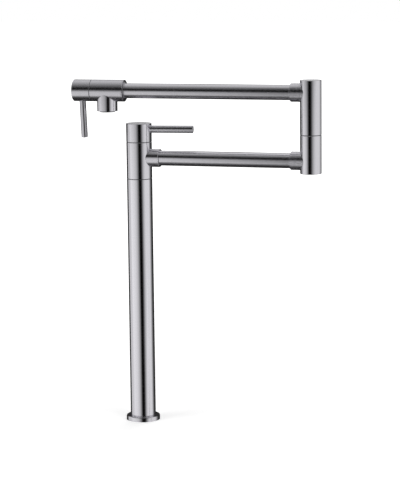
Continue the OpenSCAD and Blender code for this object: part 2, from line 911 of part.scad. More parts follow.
module elbow_spindle() {
    color(brass)
        at_elbow()
            difference() {
                union() {
                    bore(elbow_foot_r, elbow_foot_z, elbow_lower_top);
                    bore(journal_r, elbow_lower_top - weld, elbow_spindle_top);
                }
                bore(elbow_spindle_bore / 2, elbow_foot_z - cut, elbow_spindle_top + cut);
                for (z = elbow_seal_heights())
                    seal_groove(journal_r, elbow_cord, z);
                ring(journal_r + cut, journal_r - circlip_groove, elbow_clip_z,
                     elbow_clip_z + circlip_t + run_gap);
            }
}

// The two rubber rings on the elbow's spindle divide its bearing into thirds
function elbow_seal_heights() =
    [elbow_upper_bottom + elbow_bearing_len / 3, elbow_upper_bottom + elbow_bearing_len * 2 / 3];

module elbow_seals() {
    color(rubber)
        at_elbow()
            for (z = elbow_seal_heights())
                o_ring(journal_r - elbow_cord, elbow_cord, z);
}

module elbow_glide_washer() {
    color(dark_plastic)
        at_elbow()
            ring(elbow_r - glide_recess, bearing_r, elbow_lower_top, elbow_lower_top + glide_t);
}

module elbow_circlip() {
    color(steel_dark)
        at_elbow()
            circlip(elbow_chamber_r - 2 * slip_gap, journal_r - circlip_groove + fit_gap,
                    elbow_clip_z);
}

// Upper arm

module elbow_upper_body() {
    color(steel)
        at_elbow()
            difference() {
                translate([0, 0, elbow_upper_bottom])
                    turned_bar(elbow_r, elbow_top - elbow_upper_bottom, edge_chamfer / 2, edge_chamfer);
                bore(bearing_r, elbow_upper_bottom - cut, bearing_top + cut);
                bore(elbow_chamber_r, bearing_top, elbow_top + cut);
                bore(plug_head_r + fit_gap, plug_shoulder, elbow_top + cut);
                arm_entry(upper_arm_height);
            }
}

module elbow_thrust_washer() {
    color(dark_plastic)
        at_elbow()
            ring(elbow_chamber_r - slip_gap, bearing_r + slip_gap, bearing_top,
                 bearing_top + thrust_washer_t);
}

module elbow_top_plug() {
    color(steel)
        at_elbow()
            difference() {
                union() {
                    bore(elbow_chamber_r - fit_gap, plug_shoulder - elbow_plug_len, plug_shoulder + weld);
                    translate([0, 0, plug_shoulder])
                        turned_bar(plug_head_r, elbow_plug_head_t, 0, edge_chamfer / 2);
                }
                seal_groove(elbow_chamber_r - fit_gap, elbow_cord, plug_shoulder - elbow_plug_len / 2);
            }
}

module elbow_plug_seal() {
    color(rubber)
        at_elbow()
            o_ring(elbow_chamber_r - fit_gap - elbow_cord, elbow_cord,
                   plug_shoulder - elbow_plug_len / 2);
}

module elbow_upper_collar() {
    at_elbow()
        arm_collar(elbow_r, upper_arm_height, -1);
}

module upper_arm_tube() {
    color(steel)
        translate([0, 0, upper_arm_height])
            along_x()
                ring(arm_r, arm_bore_r, upper_tube_end, upper_tube_start);
}

module spout_inlet_bush() {
    color(steel_dark)
        translate([0, 0, upper_arm_height])
            along_x()
                difference() {
                    union() {
                        bore(bush_thread_r, bush_inner_end, spout_inner_end);
                        bore(bush_flange_r, spout_inner_end - bush_flange_t, spout_inner_end);
                        translate([0, 0, spout_inner_end - weld])
                            turned_bar(bush_nose_r, bush_nose + weld, 0, edge_chamfer);
                    }
                    bore(arm_r + fit_gap, upper_tube_end, bush_nose_end + cut);
                    bore(arm_bore_r, bush_inner_end - cut, spout_inner_end);
                }
}

module spout_inlet_seal() {
    color(rubber)
        translate([0, 0, upper_arm_height])
            along_x()
                ring(bush_thread_r, arm_bore_r, bush_pocket_end, bush_inner_end);
}

module spout_body() {
    color(steel)
        difference() {
            translate([0, 0, upper_arm_height])
                along_x()
                    difference() {
                        translate([0, 0, spout_outer_end])
                            turned_bar(spout_r, spout_inner_len + spout_outer_len,
                                       edge_chamfer / 2, edge_chamfer / 2);
                        ring(spout_r + cut, spout_r - spout_groove_depth,
                             spout_inner_end - spout_groove_rim - spout_groove_w,
                             spout_inner_end - spout_groove_rim);
                        bore(bush_thread_r + fit_gap, bush_pocket_end, spout_inner_end + cut);
                        bore(bush_flange_r + slip_gap, spout_inner_end - bush_flange_t,
                             spout_inner_end + cut);
                        bore(pipe_bore_r, spout_seat_x - cut, bush_pocket_end + cut);
                        bore(housing_r, spout_outer_end - cut, spout_seat_x);
                        bore(nut_pocket_r, spout_outer_end - cut, spout_outer_end + housing_recess);
                    }
            at_outlet()
                bore(outlet_bore_d / 2, outlet_bottom, upper_arm_height);
        }
}

module outlet_stub() {
    color(steel)
        difference() {
            at_outlet()
                translate([0, 0, outlet_bottom])
                    turned_bar(outlet_r, outlet_drop, edge_chamfer / 2, 0);
            translate([0, 0, upper_arm_height])
                along_x()
                    bore(spout_r + fit_gap, spout_outer_end - cut, spout_inner_end + cut);
            at_outlet() {
                bore(outlet_bore_d / 2, outlet_bottom - cut, upper_arm_height);
                bore(outlet_thread_r, outlet_bottom - cut, outlet_shoulder);
            }
        }
}

module spout_cartridge_seal() {
    at_spout_valve()
        cartridge_seal();
}

module spout_fixed_disc() {
    at_spout_valve()
        fixed_disc();
}

module spout_cartridge_body() {
    at_spout_valve()
        cartridge_body();
}

module spout_cartridge_nut() {
    at_spout_valve()
        cartridge_nut(spout_housing_top);
}

// Aerator

module aerator_gasket() {
    color(rubber)
        at_outlet()
            ring(aerator_r, aerator_bore_r, aerator_top, outlet_shoulder);
}

module aerator_shell() {
    color(steel_dark)
        at_outlet()
            difference() {
                translate([0, 0, aerator_bottom])
                    turned_bar(aerator_r, aerator_top - aerator_bottom, aerator_chamfer, 0);
                bore(aerator_bore_r, insert_bottom, aerator_top + cut);
                bore(aerator_bore_r - aerator_lip, aerator_bottom - cut, aerator_top);
            }
}

// A plate with a round field of holes on a triangular grid, between two heights
module holed_plate(r, from, to, hole_d, pitch) {
    rows = floor(r / pitch) + 1;
    field_r = r - hole_d / 2 - 2 * slip_gap;
    difference() {
        bore(r, from, to);
        for (row = [-rows : rows])
            for (column = [-rows : rows]) {
                x = (column + row / 2) * pitch;
                y = row * pitch * sqrt(3) / 2;
                if (norm([x, y]) < field_r)
                    translate([x, y, 0])
                        bore(hole_d / 2, from - cut, to + cut);
            }
    }
}

module aerator_insert() {
    color(plastic)
        at_outlet()
            holed_plate(aerator_bore_r - fit_gap, insert_bottom, screen_z, insert_hole_d, insert_pitch);
}

module aerator_screen() {
    color(steel_dark)
        at_outlet()
            holed_plate(aerator_bore_r - fit_gap, screen_z, screen_z + screen_t, screen_hole_d,
                        screen_pitch);
}

// Spout handle

module spout_moving_disc() {
    with_spout_handle()
        moving_disc();
}

module spout_spindle() {
    with_spout_handle()
        valve_spindle(spout_housing_top);
}

module spout_spindle_seals() {
    with_spout_handle()
        spindle_seals();
}

module spout_handle_cap() {
    with_spout_handle()
        handle_cap(spout_r, spout_cap_z, spout_housing_top, spout_lever_d / 2, spout_lever_out, -1);
}

module spout_lever() {
    with_spout_handle()
        handle_lever(spout_r, spout_cap_z, spout_lever_d, spout_lever_out, spout_lever_reach);
}

module spout_handle_screw() {
    with_spout_handle()
        handle_screw(spout_cap_z, -1);
}

deck_gasket();
deck_flange();
flange_grip_ring();
base_plug();
column_tube();
supply_pipe();
pipe_seals();
column_stem();
lower_glide_ring();
swivel_seals();
swivel_circlip();
column_cartridge_seal();
column_fixed_disc();
column_cartridge_body();
column_cartridge_nut();
column_moving_disc();
column_spindle();
column_spindle_seals();
column_handle_cap();
column_lever();
column_handle_screw();
swivel_sleeve();
upper_glide_ring();
swivel_arm_collar();
lower_arm_tube();
elbow_lower_collar();
elbow_lower_body();
elbow_spindle();
elbow_seals();
elbow_glide_washer();
elbow_circlip();
elbow_upper_body();
elbow_thrust_washer();
elbow_top_plug();
elbow_plug_seal();
elbow_upper_collar();
upper_arm_tube();
spout_inlet_bush();
spout_inlet_seal();
spout_body();
outlet_stub();
spout_cartridge_seal();
spout_fixed_disc();
spout_cartridge_body();
spout_cartridge_nut();
aerator_gasket();
aerator_shell();
aerator_insert();
aerator_screen();
spout_moving_disc();
spout_spindle();
spout_spindle_seals();
spout_handle_cap();
spout_lever();
spout_handle_screw();
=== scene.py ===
import json
import math

import bmesh
import bpy
from mathutils import Matrix, Vector


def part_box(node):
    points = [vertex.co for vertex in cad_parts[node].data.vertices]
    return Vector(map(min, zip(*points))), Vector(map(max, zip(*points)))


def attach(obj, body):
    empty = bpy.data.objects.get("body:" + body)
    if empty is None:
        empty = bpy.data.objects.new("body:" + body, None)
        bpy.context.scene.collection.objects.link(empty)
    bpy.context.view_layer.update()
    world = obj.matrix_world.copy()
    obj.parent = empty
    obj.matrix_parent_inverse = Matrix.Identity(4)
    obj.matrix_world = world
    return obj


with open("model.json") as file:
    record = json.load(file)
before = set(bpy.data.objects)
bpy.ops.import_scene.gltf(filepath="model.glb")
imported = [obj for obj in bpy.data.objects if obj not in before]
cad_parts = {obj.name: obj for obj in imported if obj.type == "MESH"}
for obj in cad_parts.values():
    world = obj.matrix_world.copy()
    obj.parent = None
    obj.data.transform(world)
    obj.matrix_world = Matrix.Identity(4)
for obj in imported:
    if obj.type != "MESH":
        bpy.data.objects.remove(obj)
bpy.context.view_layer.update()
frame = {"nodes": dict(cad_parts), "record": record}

# Index of each coordinate in a point, also by its name, and the directions that round parts lie in
X, Y, Z = range(3)
WAYS = {"X": X, "Z": Z}
UNIT = {"X": Vector((1, 0, 0)), "Z": Vector((0, 0, 1))}
ALL_WAYS = Vector((1, 1, 1))


def middle(node, way):
    """The middle of a node's box in one direction."""
    low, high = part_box(node)
    return (low[way] + high[way]) / 2


def half_width(node, way):
    """Half the width of a node's box in one direction."""
    low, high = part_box(node)
    return (high[way] - low[way]) / 2


# Camera: its aim, direction and lens give the photograph's frame with no shift
AIM = Vector((0.0913, 0.0, 0.2675))
CAMERA_AZIMUTH = math.radians(16.12)
CAMERA_ELEVATION = math.radians(8.79)
CAMERA_ROLL = math.radians(-0.64)
CAMERA_DISTANCE = 2.861
LENS_MM = 144.0
SENSOR_MM = 36.0

# The elbow and the heights of the arms, in metres
ELBOW_X = middle("elbow_lower_body", X)
ELBOW_RADIUS = half_width("elbow_lower_body", X)
LOWER_ARM_Z = middle("elbow_lower_collar", Z)
UPPER_ARM_Z = middle("elbow_upper_collar", Z)

# A point on the column's lever, which is turned back from the arm by this angle
LEVER_TURN = math.radians(6)
COLUMN_LEVER_X = 0.04
COLUMN_LEVER_Y = COLUMN_LEVER_X * math.tan(LEVER_TURN)

# Axes that the brushing runs round, in metres: the point it is measured from, and the axis's direction.
# The directions leave out the small turn of the levers.
COLUMN_AXIS = ((0.0, 0.0, 0.4), "Z")
ELBOW_AXIS = ((ELBOW_X, 0.0, 0.43), "Z")
LOWER_ARM_AXIS = ((0.1, 0.0, LOWER_ARM_Z), "X")
UPPER_ARM_AXIS = ((0.1, 0.0, UPPER_ARM_Z), "X")
OUTLET_AXIS = ((middle("outlet_stub", X), 0.0, 0.47), "Z")
SPOUT_LEVER_AXIS = ((middle("spout_lever", X), 0.0, 0.44), "Z")
COLUMN_LEVER_AXIS = ((COLUMN_LEVER_X, COLUMN_LEVER_Y, middle("column_lever", Z)), "X")

# Steel as it looks under white light
STEEL = (0.73, 0.72, 0.765)

# Roughness and anisotropy of the pieces that lie along the arms, and of the upright ones
LONG_BRUSHED = (0.24, 0.95)
ROUND_BRUSHED = (0.14, 0.6)
# Roughness of their end faces
FACED = 0.22

# Families of steel pieces: the axis they're turned about, how much lighter or darker the steel is painted,
# and the nodes
# The lighter and darker copies of the one steel are painted light and shade, standing in for how light falls
# on each piece
STEEL_NODES = {
    "flange": (COLUMN_AXIS, 0.93, ["deck_flange"]),
    "column": (COLUMN_AXIS, 1.0, ["column_tube"]),
    "swivel": (COLUMN_AXIS, 0.95, ["swivel_sleeve", "column_handle_cap"]),
    "elbow": (ELBOW_AXIS, 0.93, ["elbow_lower_body", "elbow_upper_body", "elbow_top_plug"]),
    "lower_arm": (LOWER_ARM_AXIS, 1.14, ["swivel_arm_collar", "lower_arm_tube", "elbow_lower_collar"]),
    "upper_arm": (UPPER_ARM_AXIS, 1.0, ["elbow_upper_collar", "upper_arm_tube"]),
    "spout": (UPPER_ARM_AXIS, 0.9, ["spout_body", "spout_handle_cap"]),
    "bush": (UPPER_ARM_AXIS, 0.65, ["spout_inlet_bush"]),
    "outlet": (OUTLET_AXIS, 0.95, ["outlet_stub", "aerator_shell"]),
    "spout_lever": (SPOUT_LEVER_AXIS, 0.66, ["spout_lever"]),
    "column_lever": (COLUMN_LEVER_AXIS, 1.12, ["column_lever"]),
}

# Streaks of the brushing: their noise's scale round the axis and along it, and its detail
COARSE_STREAKS = (14.0, 520.0, 2.0)
FINE_STREAKS = (30.0, 3200.0, 3.0)
# Their scale outwards on the end faces, as a share of the one along the axis
FACE_SHARE = 0.83
# Shares of the two in the colour, how far the colour goes either way, and a factor for its light side's blue
COARSE_SHARE = 0.6
FINE_SHARE = 0.4
STREAK_SPREAD = 0.04
STREAK_WARMTH = 0.985
# Roughness that the coarse streaks and slow clouds add, and the clouds' scale and detail
COARSE_ROUGHNESS = 0.1
CLOUD_ROUGHNESS = 0.08
CLOUD_SCALE = 38.0
CLOUD_DETAIL = 2.0
# Relief of the fine streaks: its strength and its depth in metres
STREAK_STRENGTH = 0.06
STREAK_DEPTH = 0.00008
# An end face starts and is complete where the normal has this much of the axis in it
FACE_STARTS = 0.85
FACE_COMPLETE = 0.95
# Weight of the direction away from the axis, per metre, against the direction along it
OUTWARD_WEIGHT = 3.0

# Grain of the materials that aren't metal: its detail, and the strength of its relief
GRAIN_DETAIL = 4.0
GRAIN_STRENGTH = 0.25
# The most roughness that it adds, and the part of that which is taken off again
GRAIN_ROUGHNESS = 0.15
GRAIN_ROUGHNESS_OFF = 0.07

# The world's level for all but the camera and reflections, and the way in which metal sees it darkest
AMBIENT = 0.45
DARKEST_WAY = (0.0, 0.37, -0.93)

# Studio cards, in metres: their y, and their spans in x and z
FRONT_CARD = (-0.65, (-2.45, 2.75), (-1.12, 2.55))
BACK_CARD = (0.34, (-1.4, 1.3), (-0.7, 0.9))

# Lamps: name, place, width in metres and power in watts, and the point that all face
LAMPS = (
    ("lamp_left", (-1.8, -1.6, 2.2), 1.6, 26.0),
    ("lamp_right", (2.0, -1.4, 1.9), 1.6, 20.0),
    ("lamp_back", (0.2, 2.2, 2.4), 1.8, 18.0),
)
LAMP_AIM = Vector((0.09, 0.0, 0.25))

# Floor: half its width in metres, and how light its grey is
FLOOR_HALF = 14.0
FLOOR_LEVEL = 0.8

# Fine rings turned into the collars at the elbow, in metres: their pitch and their wire's radius
RING_PITCH = 0.0018
WIRE_RADIUS = 0.0003
WIRE_SIDES = 8
# How deep a wire's middle lies under the collar's surface
WIRE_SUNK = 0.00012
# The first ring's distance from the collar's end, and the last ring's least distance from the elbow's axis
FIRST_RING = 0.0021
LAST_RING = 0.0085
# An arc goes this far past the elbow's wall, and no further than this from its middle
ARC_PAST_WALL = math.radians(2)
ARC_HALF_MOST = math.radians(88)
ARC_STEPS = 40

# Slip rings under the handle caps, in metres: their bore's radius, chamfer and clearance at each face
SLIP_BORE = 0.0132
SLIP_CHAMFER = 0.00012
SLIP_CLEARANCE = 0.00005
# How deep they lie under the outside of their caps
COLUMN_SLIP_RECESS = 0.00035
SPOUT_SLIP_RECESS = 0.0004

# Steps in a full turn, and the angle from which an edge stays sharp
TURN_STEPS = 96
SHARP_ANGLE = math.radians(35)

# Sockets of a Mix node for each kind of data: factor, A and B, and the result
MIX_INPUTS = {"FLOAT": (0, 2, 3), "RGBA": (0, 6, 7)}
MIX_OUTPUT = {"FLOAT": 0, "RGBA": 2}


def feed(tree, socket, value):
    """Links an input to another node's output, or sets it to a plain value."""
    if isinstance(value, bpy.types.NodeSocket):
        tree.links.new(value, socket)
    else:
        socket.default_value = value


def add_node(tree, kind, **values):
    """A node with its named inputs fed and its settings set."""
    node = tree.nodes.new(kind)
    for name, value in values.items():
        if name in node.inputs:
            feed(tree, node.inputs[name], value)
        else:
            setattr(node, name, value)
    return node


def math_node(tree, operation, *values):
    """A Math node on sockets or plain numbers. Returns its output."""
    node = add_node(tree, "ShaderNodeMath", operation=operation)
    for socket, value in zip(node.inputs, values):
        feed(tree, socket, value)
    return node.outputs[0]


def times(tree, a, b):
    """The product of two sockets or numbers."""
    return math_node(tree, "MULTIPLY", a, b)


def plus(tree, a, b):
    """The sum of two sockets or numbers."""
    return math_node(tree, "ADD", a, b)


def larger(tree, a, b):
    """The larger of two sockets or numbers."""
    return math_node(tree, "MAXIMUM", a, b)


def vector_node(tree, operation, *values):
    """A Vector Math node on sockets or plain vectors. Returns its output, as a vector or a number."""
    node = add_node(tree, "ShaderNodeVectorMath", operation=operation)
    for socket, value in zip(node.inputs, values):
        feed(tree, socket, value)
    return node.outputs["Value" if operation in ("LENGTH", "DOT_PRODUCT") else "Vector"]


def mix_node(tree, kind, factor, a, b):
    """A Mix node of numbers (FLOAT) or colours (RGBA). Returns its output."""
    node = add_node(tree, "ShaderNodeMix", data_type=kind)
    for place, value in zip(MIX_INPUTS[kind], (factor, a, b)):
        feed(tree, node.inputs[place], value)
    return node.outputs[MIX_OUTPUT[kind]]


def split(tree, vector):
    """The three coordinates of a vector socket."""
    parts = tree.nodes.new("ShaderNodeSeparateXYZ")
    tree.links.new(vector, parts.inputs[0])
    return parts.outputs["X"], parts.outputs["Y"], parts.outputs["Z"]


def grey(level):
    """An opaque grey."""
    return (level, level, level, 1.0)


def graded(tree, value, stops):
    """A level that runs straight between (value, level) pairs, which are in rising order."""
    (low, first), (high, last) = stops[0], stops[-1]
    spread = tree.nodes.new("ShaderNodeMapRange")
    feed(tree, spread.inputs["Value"], value)
    feed(tree, spread.inputs["From Min"], low)
    feed(tree, spread.inputs["From Max"], high)
    ramp = tree.nodes.new("ShaderNodeValToRGB")
    marks = ramp.color_ramp.elements
    marks[0].color = grey(first)
    marks[1].color = grey(last)
    for at, level in stops[1:-1]:
        marks.new((at - low) / (high - low)).color = grey(level)
    tree.links.new(spread.outputs["Result"], ramp.inputs["Fac"])
    return ramp.outputs["Color"]


def seen_directly(tree):
    """1 where the camera sees the surface itself, also through glass, and 0 elsewhere."""
    path = tree.nodes.new("ShaderNodeLightPath")
    return larger(tree, path.outputs["Is Camera Ray"], path.outputs["Is Transmission Ray"])


def new_material(name):
    """An empty node material. Returns it, its tree and its output node."""
    material = bpy.data.materials.new(name)
    material.use_nodes = True
    tree = material.node_tree
    tree.nodes.clear()
    return material, tree, tree.nodes.new("ShaderNodeOutputMaterial")


def link_object(name, data):
    """A new object in the scene, for a mesh, a lamp or the camera."""
    obj = bpy.data.objects.new(name, data)
    bpy.context.scene.collection.objects.link(obj)
    return obj


def make_camera():
    """The camera of the photograph."""
    data = bpy.data.cameras.new("camera")
    data.lens = LENS_MM
    data.sensor_width = SENSOR_MM
    data.sensor_fit = "AUTO"
    camera = link_object("camera", data)
    back = Vector((
        math.sin(CAMERA_AZIMUTH) * math.cos(CAMERA_ELEVATION),
        -math.cos(CAMERA_AZIMUTH) * math.cos(CAMERA_ELEVATION),
        math.sin(CAMERA_ELEVATION),
    ))
    turn = (-back).to_track_quat("-Z", "Y").to_matrix() @ Matrix.Rotation(CAMERA_ROLL, 3, "Z")
    camera.matrix_world = Matrix.Translation(AIM + back * CAMERA_DISTANCE) @ turn.to_4x4()
    bpy.context.scene.camera = camera


def studio_level(tree, way):
    """The studio that metal sees beyond the cards: light all round, grey overhead and dark below."""
    x, y, z = split(tree, way)
    around = graded(tree, x, [(-1.0, 0.7), (-0.85, 0.93), (0.0, 1.0), (1.0, 0.87)])
    # Overhead, the light falls off towards the front
    overhead = graded(tree, y, [(-0.6, 0.23), (-0.3, 0.34), (0.0, 0.53), (0.3, 0.68), (0.8, 0.72)])
    high = graded(tree, z, [(0.35, 0.0), (0.75, 1.0)])
    down = vector_node(tree, "DOT_PRODUCT", way, DARKEST_WAY)
    below = graded(tree, down, [
        (0.3, 1.0), (0.5, 0.75), (0.62, 0.42), (0.75, 0.14), (0.86, 0.03), (1.0, 0.03)])
    return times(tree, mix_node(tree, "FLOAT", high, around, overhead), below)


def make_world():
    """White to the camera, the studio to metal, and a plain level to everything else."""
    world = bpy.data.worlds.new("studio")
    bpy.context.scene.world = world
    world.use_nodes = True
    tree = world.node_tree
    tree.nodes.clear()
    output = tree.nodes.new("ShaderNodeOutputWorld")
    place = tree.nodes.new("ShaderNodeTexCoord")
    path = tree.nodes.new("ShaderNodeLightPath")
    studio = studio_level(tree, place.outputs["Generated"])
    indirect = mix_node(tree, "FLOAT", path.outputs["Is Glossy Ray"], AMBIENT, studio)
    level = mix_node(tree, "FLOAT", seen_directly(tree), indirect, 1.0)
    background = add_node(tree, "ShaderNodeBackground", Color=grey(1.0), Strength=level)
    tree.links.new(background.outputs[0], output.inputs["Surface"])


def only_seen_by_metal(obj):
    """Makes an object show in reflections and nowhere else."""
    obj.visible_camera = False
    obj.visible_diffuse = False
    obj.visible_transmission = False
    obj.visible_volume_scatter = False
    obj.visible_shadow = False


def plane_object(name, corners, material):
    """One flat face with a material."""
    mesh = bpy.data.meshes.new(name)
    mesh.from_pydata(corners, [], [(0, 1, 2, 3)])
    mesh.materials.append(material)
    return link_object(name, mesh)


def studio_card(name, y, x_span, z_span, make_level):
    """A wide upright card that metal reflects. make_level gives its brightness over x and z."""
    material, tree, output = new_material(name)
    place = tree.nodes.new("ShaderNodeTexCoord")
    x, _, z = split(tree, place.outputs["Object"])
    emission = add_node(tree, "ShaderNodeEmission", Strength=make_level(tree, x, z))
    tree.links.new(emission.outputs[0], output.inputs["Surface"])
    (left, right), (bottom, top) = x_span, z_span
    corners = [(left, y, bottom), (right, y, bottom), (right, y, top), (left, y, top)]
    card = plane_object(name, corners, material)
    only_seen_by_metal(card)


def front_level(tree, x, z):
    """Light, with a soft dark upright band where the camera stands and a level one above the object."""
    across = graded(tree, x, [
        (-0.92, 1.0), (-0.405, 0.9), (-0.145, 0.68), (0.038, 0.26), (0.13, 0.02), (0.184, 0.0), (0.336, 0.0),
        (0.405, 0.015), (0.49, 0.09), (0.612, 0.32), (0.857, 0.6), (1.22, 0.8), (1.84, 0.88)])
    # The level band is higher on the right
    rise = graded(tree, x, [(0.0, 0.0), (0.765, 0.092)])
    upward = graded(tree, math_node(tree, "SUBTRACT", z, rise), [
        (-1.044, 0.15), (-0.738, 0.45), (-0.55, 0.78), (-0.356, 0.95), (-0.05, 1.0), (0.21, 1.0),
        (0.333, 0.93), (0.44, 0.62), (0.532, 0.25), (0.639, 0.02), (0.792, 0.0), (0.93, 0.05),
        (1.251, 0.2), (2.016, 0.36), (2.55, 0.42)])
    # A little more light low down on the right, for the undersides of the arms
    rightward = graded(tree, x, [(-0.3, 0.0), (-0.08, 0.25), (0.25, 0.35)])
    low = graded(tree, z, [(-0.75, 0.0), (-0.5, 0.8), (-0.35, 1.0), (-0.12, 0.0)])
    lift = plus(tree, times(tree, rightward, low), 1.0)
    return times(tree, times(tree, across, upward), lift)


def back_level(tree, x, z):
    """Dark behind the object, and light to the sides and above. The tops of two pieces show a light spot."""
    across = graded(tree, x, [
        (-1.35, 0.5), (-1.1, 0.28), (-0.93, 0.12), (-0.7, 0.06), (-0.5, 0.03), (0.2, 0.03), (0.33, 0.07),
        (0.45, 0.23), (0.59, 0.45), (0.75, 0.66), (1.2, 0.88)])
    above = graded(tree, z, [(0.62, 0.0), (0.85, 0.8)])
    # The slot that shows in the top of the column's cap
    slot = times(
        tree,
        graded(tree, x, [(-0.25, 0.0), (-0.17, 1.0), (-0.06, 1.0), (0.0, 0.0)]),
        graded(tree, z, [(0.4, 0.0), (0.45, 0.36), (0.462, 0.4), (0.474, 0.75), (0.486, 0.4)]),
    )
    # The patch that shows in the elbow's top
    patch = times(
        tree,
        graded(tree, x, [(0.02, 0.0), (0.1, 1.0), (0.24, 1.0), (0.34, 0.0)]),
        graded(tree, z, [(0.505, 0.0), (0.53, 0.6)]),
    )
    return larger(tree, larger(tree, across, above), larger(tree, slot, patch))


def make_floor():
    """A plain pale floor that keeps a faint contact shadow."""
    material, tree, output = new_material("floor_white")
    place = tree.nodes.new("ShaderNodeTexCoord")
    away = vector_node(tree, "LENGTH", place.outputs["Object"])
    # The floor's own light, for the camera alone, is fainter near the object, where the shadow lies
    lift = graded(tree, away, [(0.05, 0.4), (0.5, 0.55), (1.5, 0.8), (4.0, 1.0)])
    glow = add_node(tree, "ShaderNodeEmission", Strength=times(tree, seen_directly(tree), lift))
    diffuse = add_node(tree, "ShaderNodeBsdfDiffuse", Color=grey(FLOOR_LEVEL))
    both = tree.nodes.new("ShaderNodeAddShader")
    tree.links.new(diffuse.outputs[0], both.inputs[0])
    tree.links.new(glow.outputs[0], both.inputs[1])
    tree.links.new(both.outputs[0], output.inputs["Surface"])
    corners = [(-FLOOR_HALF, -FLOOR_HALF, 0), (FLOOR_HALF, -FLOOR_HALF, 0),
               (FLOOR_HALF, FLOOR_HALF, 0), (-FLOOR_HALF, FLOOR_HALF, 0)]
    floor = plane_object("floor", corners, material)
    floor.visible_glossy = False


def make_lamps():
    """Large soft lamps that light the floor and the pieces that aren't metal."""
    for name, place, width, power in LAMPS:
        data = bpy.data.lights.new(name, "AREA")
        data.shape = "SQUARE"
        data.size = width
        data.energy = power
        lamp = link_object(name, data)
        lamp.location = place
        lamp.rotation_euler = (LAMP_AIM - lamp.location).to_track_quat("-Z", "Y").to_euler()
        lamp.visible_glossy = False
        lamp.visible_camera = False


def varied_colour(tree, colour, spread, level, warmth=1.0):
    """A colour that goes from a little darker to a little lighter as the level rises."""
    dark = [c * (1 - spread) for c in colour]
    light = [min(1.0, c * (1 + spread)) for c in colour]
    light[2] *= warmth
    return mix_node(tree, "RGBA", level, (*dark, 1), (*light, 1))


def relief(tree, height, strength, depth):
    """The normal of a fine relief."""
    return add_node(tree, "ShaderNodeBump", Strength=strength, Distance=depth, Height=height).outputs[0]


def surface(tree, output, inputs):
    """A Principled shader with its inputs given by name, as a material's surface."""
    shader = tree.nodes.new("ShaderNodeBsdfPrincipled")
    for name, value in inputs.items():
        feed(tree, shader.inputs[name], value)
    tree.links.new(shader.outputs[0], output.inputs["Surface"])


def streaks(tree, centred, distance, direction, pattern):
    """Noise that is drawn out round the axis, on the sides and on the end faces."""
    round_scale, along_scale, detail = pattern
    along = UNIT[direction]
    scales = (ALL_WAYS - along) * round_scale + along * along_scale
    stretched = vector_node(tree, "MULTIPLY", centred, scales)
    outward = tree.nodes.new("ShaderNodeCombineXYZ")
    feed(tree, outward.inputs[direction], times(tree, distance, along_scale * FACE_SHARE))
    moved = vector_node(tree, "ADD", stretched, outward.outputs[0])
    return add_node(tree, "ShaderNodeTexNoise", Scale=1.0, Detail=detail, Vector=moved).outputs["Fac"]


def on_ends(tree, normal, direction, sides, ends):
    """One level on the sides of a turned piece and another on its end faces."""
    facing = math_node(tree, "ABSOLUTE", vector_node(tree, "DOT_PRODUCT", normal, UNIT[direction]))
    end = graded(tree, facing, [(FACE_STARTS, 0.0), (FACE_COMPLETE, 1.0)])
    return mix_node(tree, "FLOAT", end, sides, ends)


def reflection_spread(tree, radial, direction):
    """The way in which reflections spread: along the axis, and outwards on the end faces."""
    outward = vector_node(tree, "MULTIPLY", radial, ALL_WAYS * OUTWARD_WEIGHT)
    spread = vector_node(tree, "ADD", outward, UNIT[direction])
    turned = add_node(
        tree, "ShaderNodeVectorTransform", vector_type="VECTOR", convert_from="OBJECT", convert_to="WORLD")
    tree.links.new(spread, turned.inputs[0])
    return turned.outputs[0]


def turned_metal(name, colour, roughness, axis, anisotropy, end_roughness=None):
    """Metal brushed round its axis, with streaks in its colour, roughness and height."""
    point, direction = axis
    material, tree, output = new_material(name)
    place = tree.nodes.new("ShaderNodeTexCoord")
    centred = vector_node(tree, "SUBTRACT", place.outputs["Object"], point)
    radial = vector_node(tree, "MULTIPLY", centred, ALL_WAYS - UNIT[direction])
    distance = vector_node(tree, "LENGTH", radial)
    coarse = streaks(tree, centred, distance, direction, COARSE_STREAKS)
    fine = streaks(tree, centred, distance, direction, FINE_STREAKS)
    cloud = add_node(
        tree, "ShaderNodeTexNoise", Scale=CLOUD_SCALE, Detail=CLOUD_DETAIL, Vector=place.outputs["Object"])
    tone = plus(tree, times(tree, coarse, COARSE_SHARE), times(tree, fine, FINE_SHARE))
    uneven = plus(
        tree, times(tree, coarse, COARSE_ROUGHNESS), times(tree, cloud.outputs["Fac"], CLOUD_ROUGHNESS))
    uneven_middle = (COARSE_ROUGHNESS + CLOUD_ROUGHNESS) / 2
    rough = plus(tree, uneven, roughness - uneven_middle)
    if end_roughness is not None:
        rough_ends = plus(tree, uneven, end_roughness - uneven_middle)
        rough = on_ends(tree, place.outputs["Normal"], direction, rough, rough_ends)
    surface(tree, output, {
        "Metallic": 1.0,
        "Anisotropic": anisotropy,
        "Base Color": varied_colour(tree, colour, STREAK_SPREAD, tone, STREAK_WARMTH),
        "Roughness": rough,
        "Normal": relief(tree, fine, STREAK_STRENGTH, STREAK_DEPTH),
        "Tangent": reflection_spread(tree, radial, direction),
    })
    return material


def plain_stuff(name, colour, roughness, grain=600.0, depth=0.0002, spread=0.12):
    """A matt or satin material that isn't metal, with a fine grain."""
    material, tree, output = new_material(name)
    place = tree.nodes.new("ShaderNodeTexCoord")
    noise = add_node(
        tree, "ShaderNodeTexNoise", Scale=grain, Detail=GRAIN_DETAIL, Vector=place.outputs["Object"])
    level = noise.outputs["Fac"]
    surface(tree, output, {
        "Base Color": varied_colour(tree, colour, spread, level),
        "Roughness": plus(tree, times(tree, level, GRAIN_ROUGHNESS), roughness - GRAIN_ROUGHNESS_OFF),
        "Normal": relief(tree, level, GRAIN_STRENGTH, depth),
    })
    return material


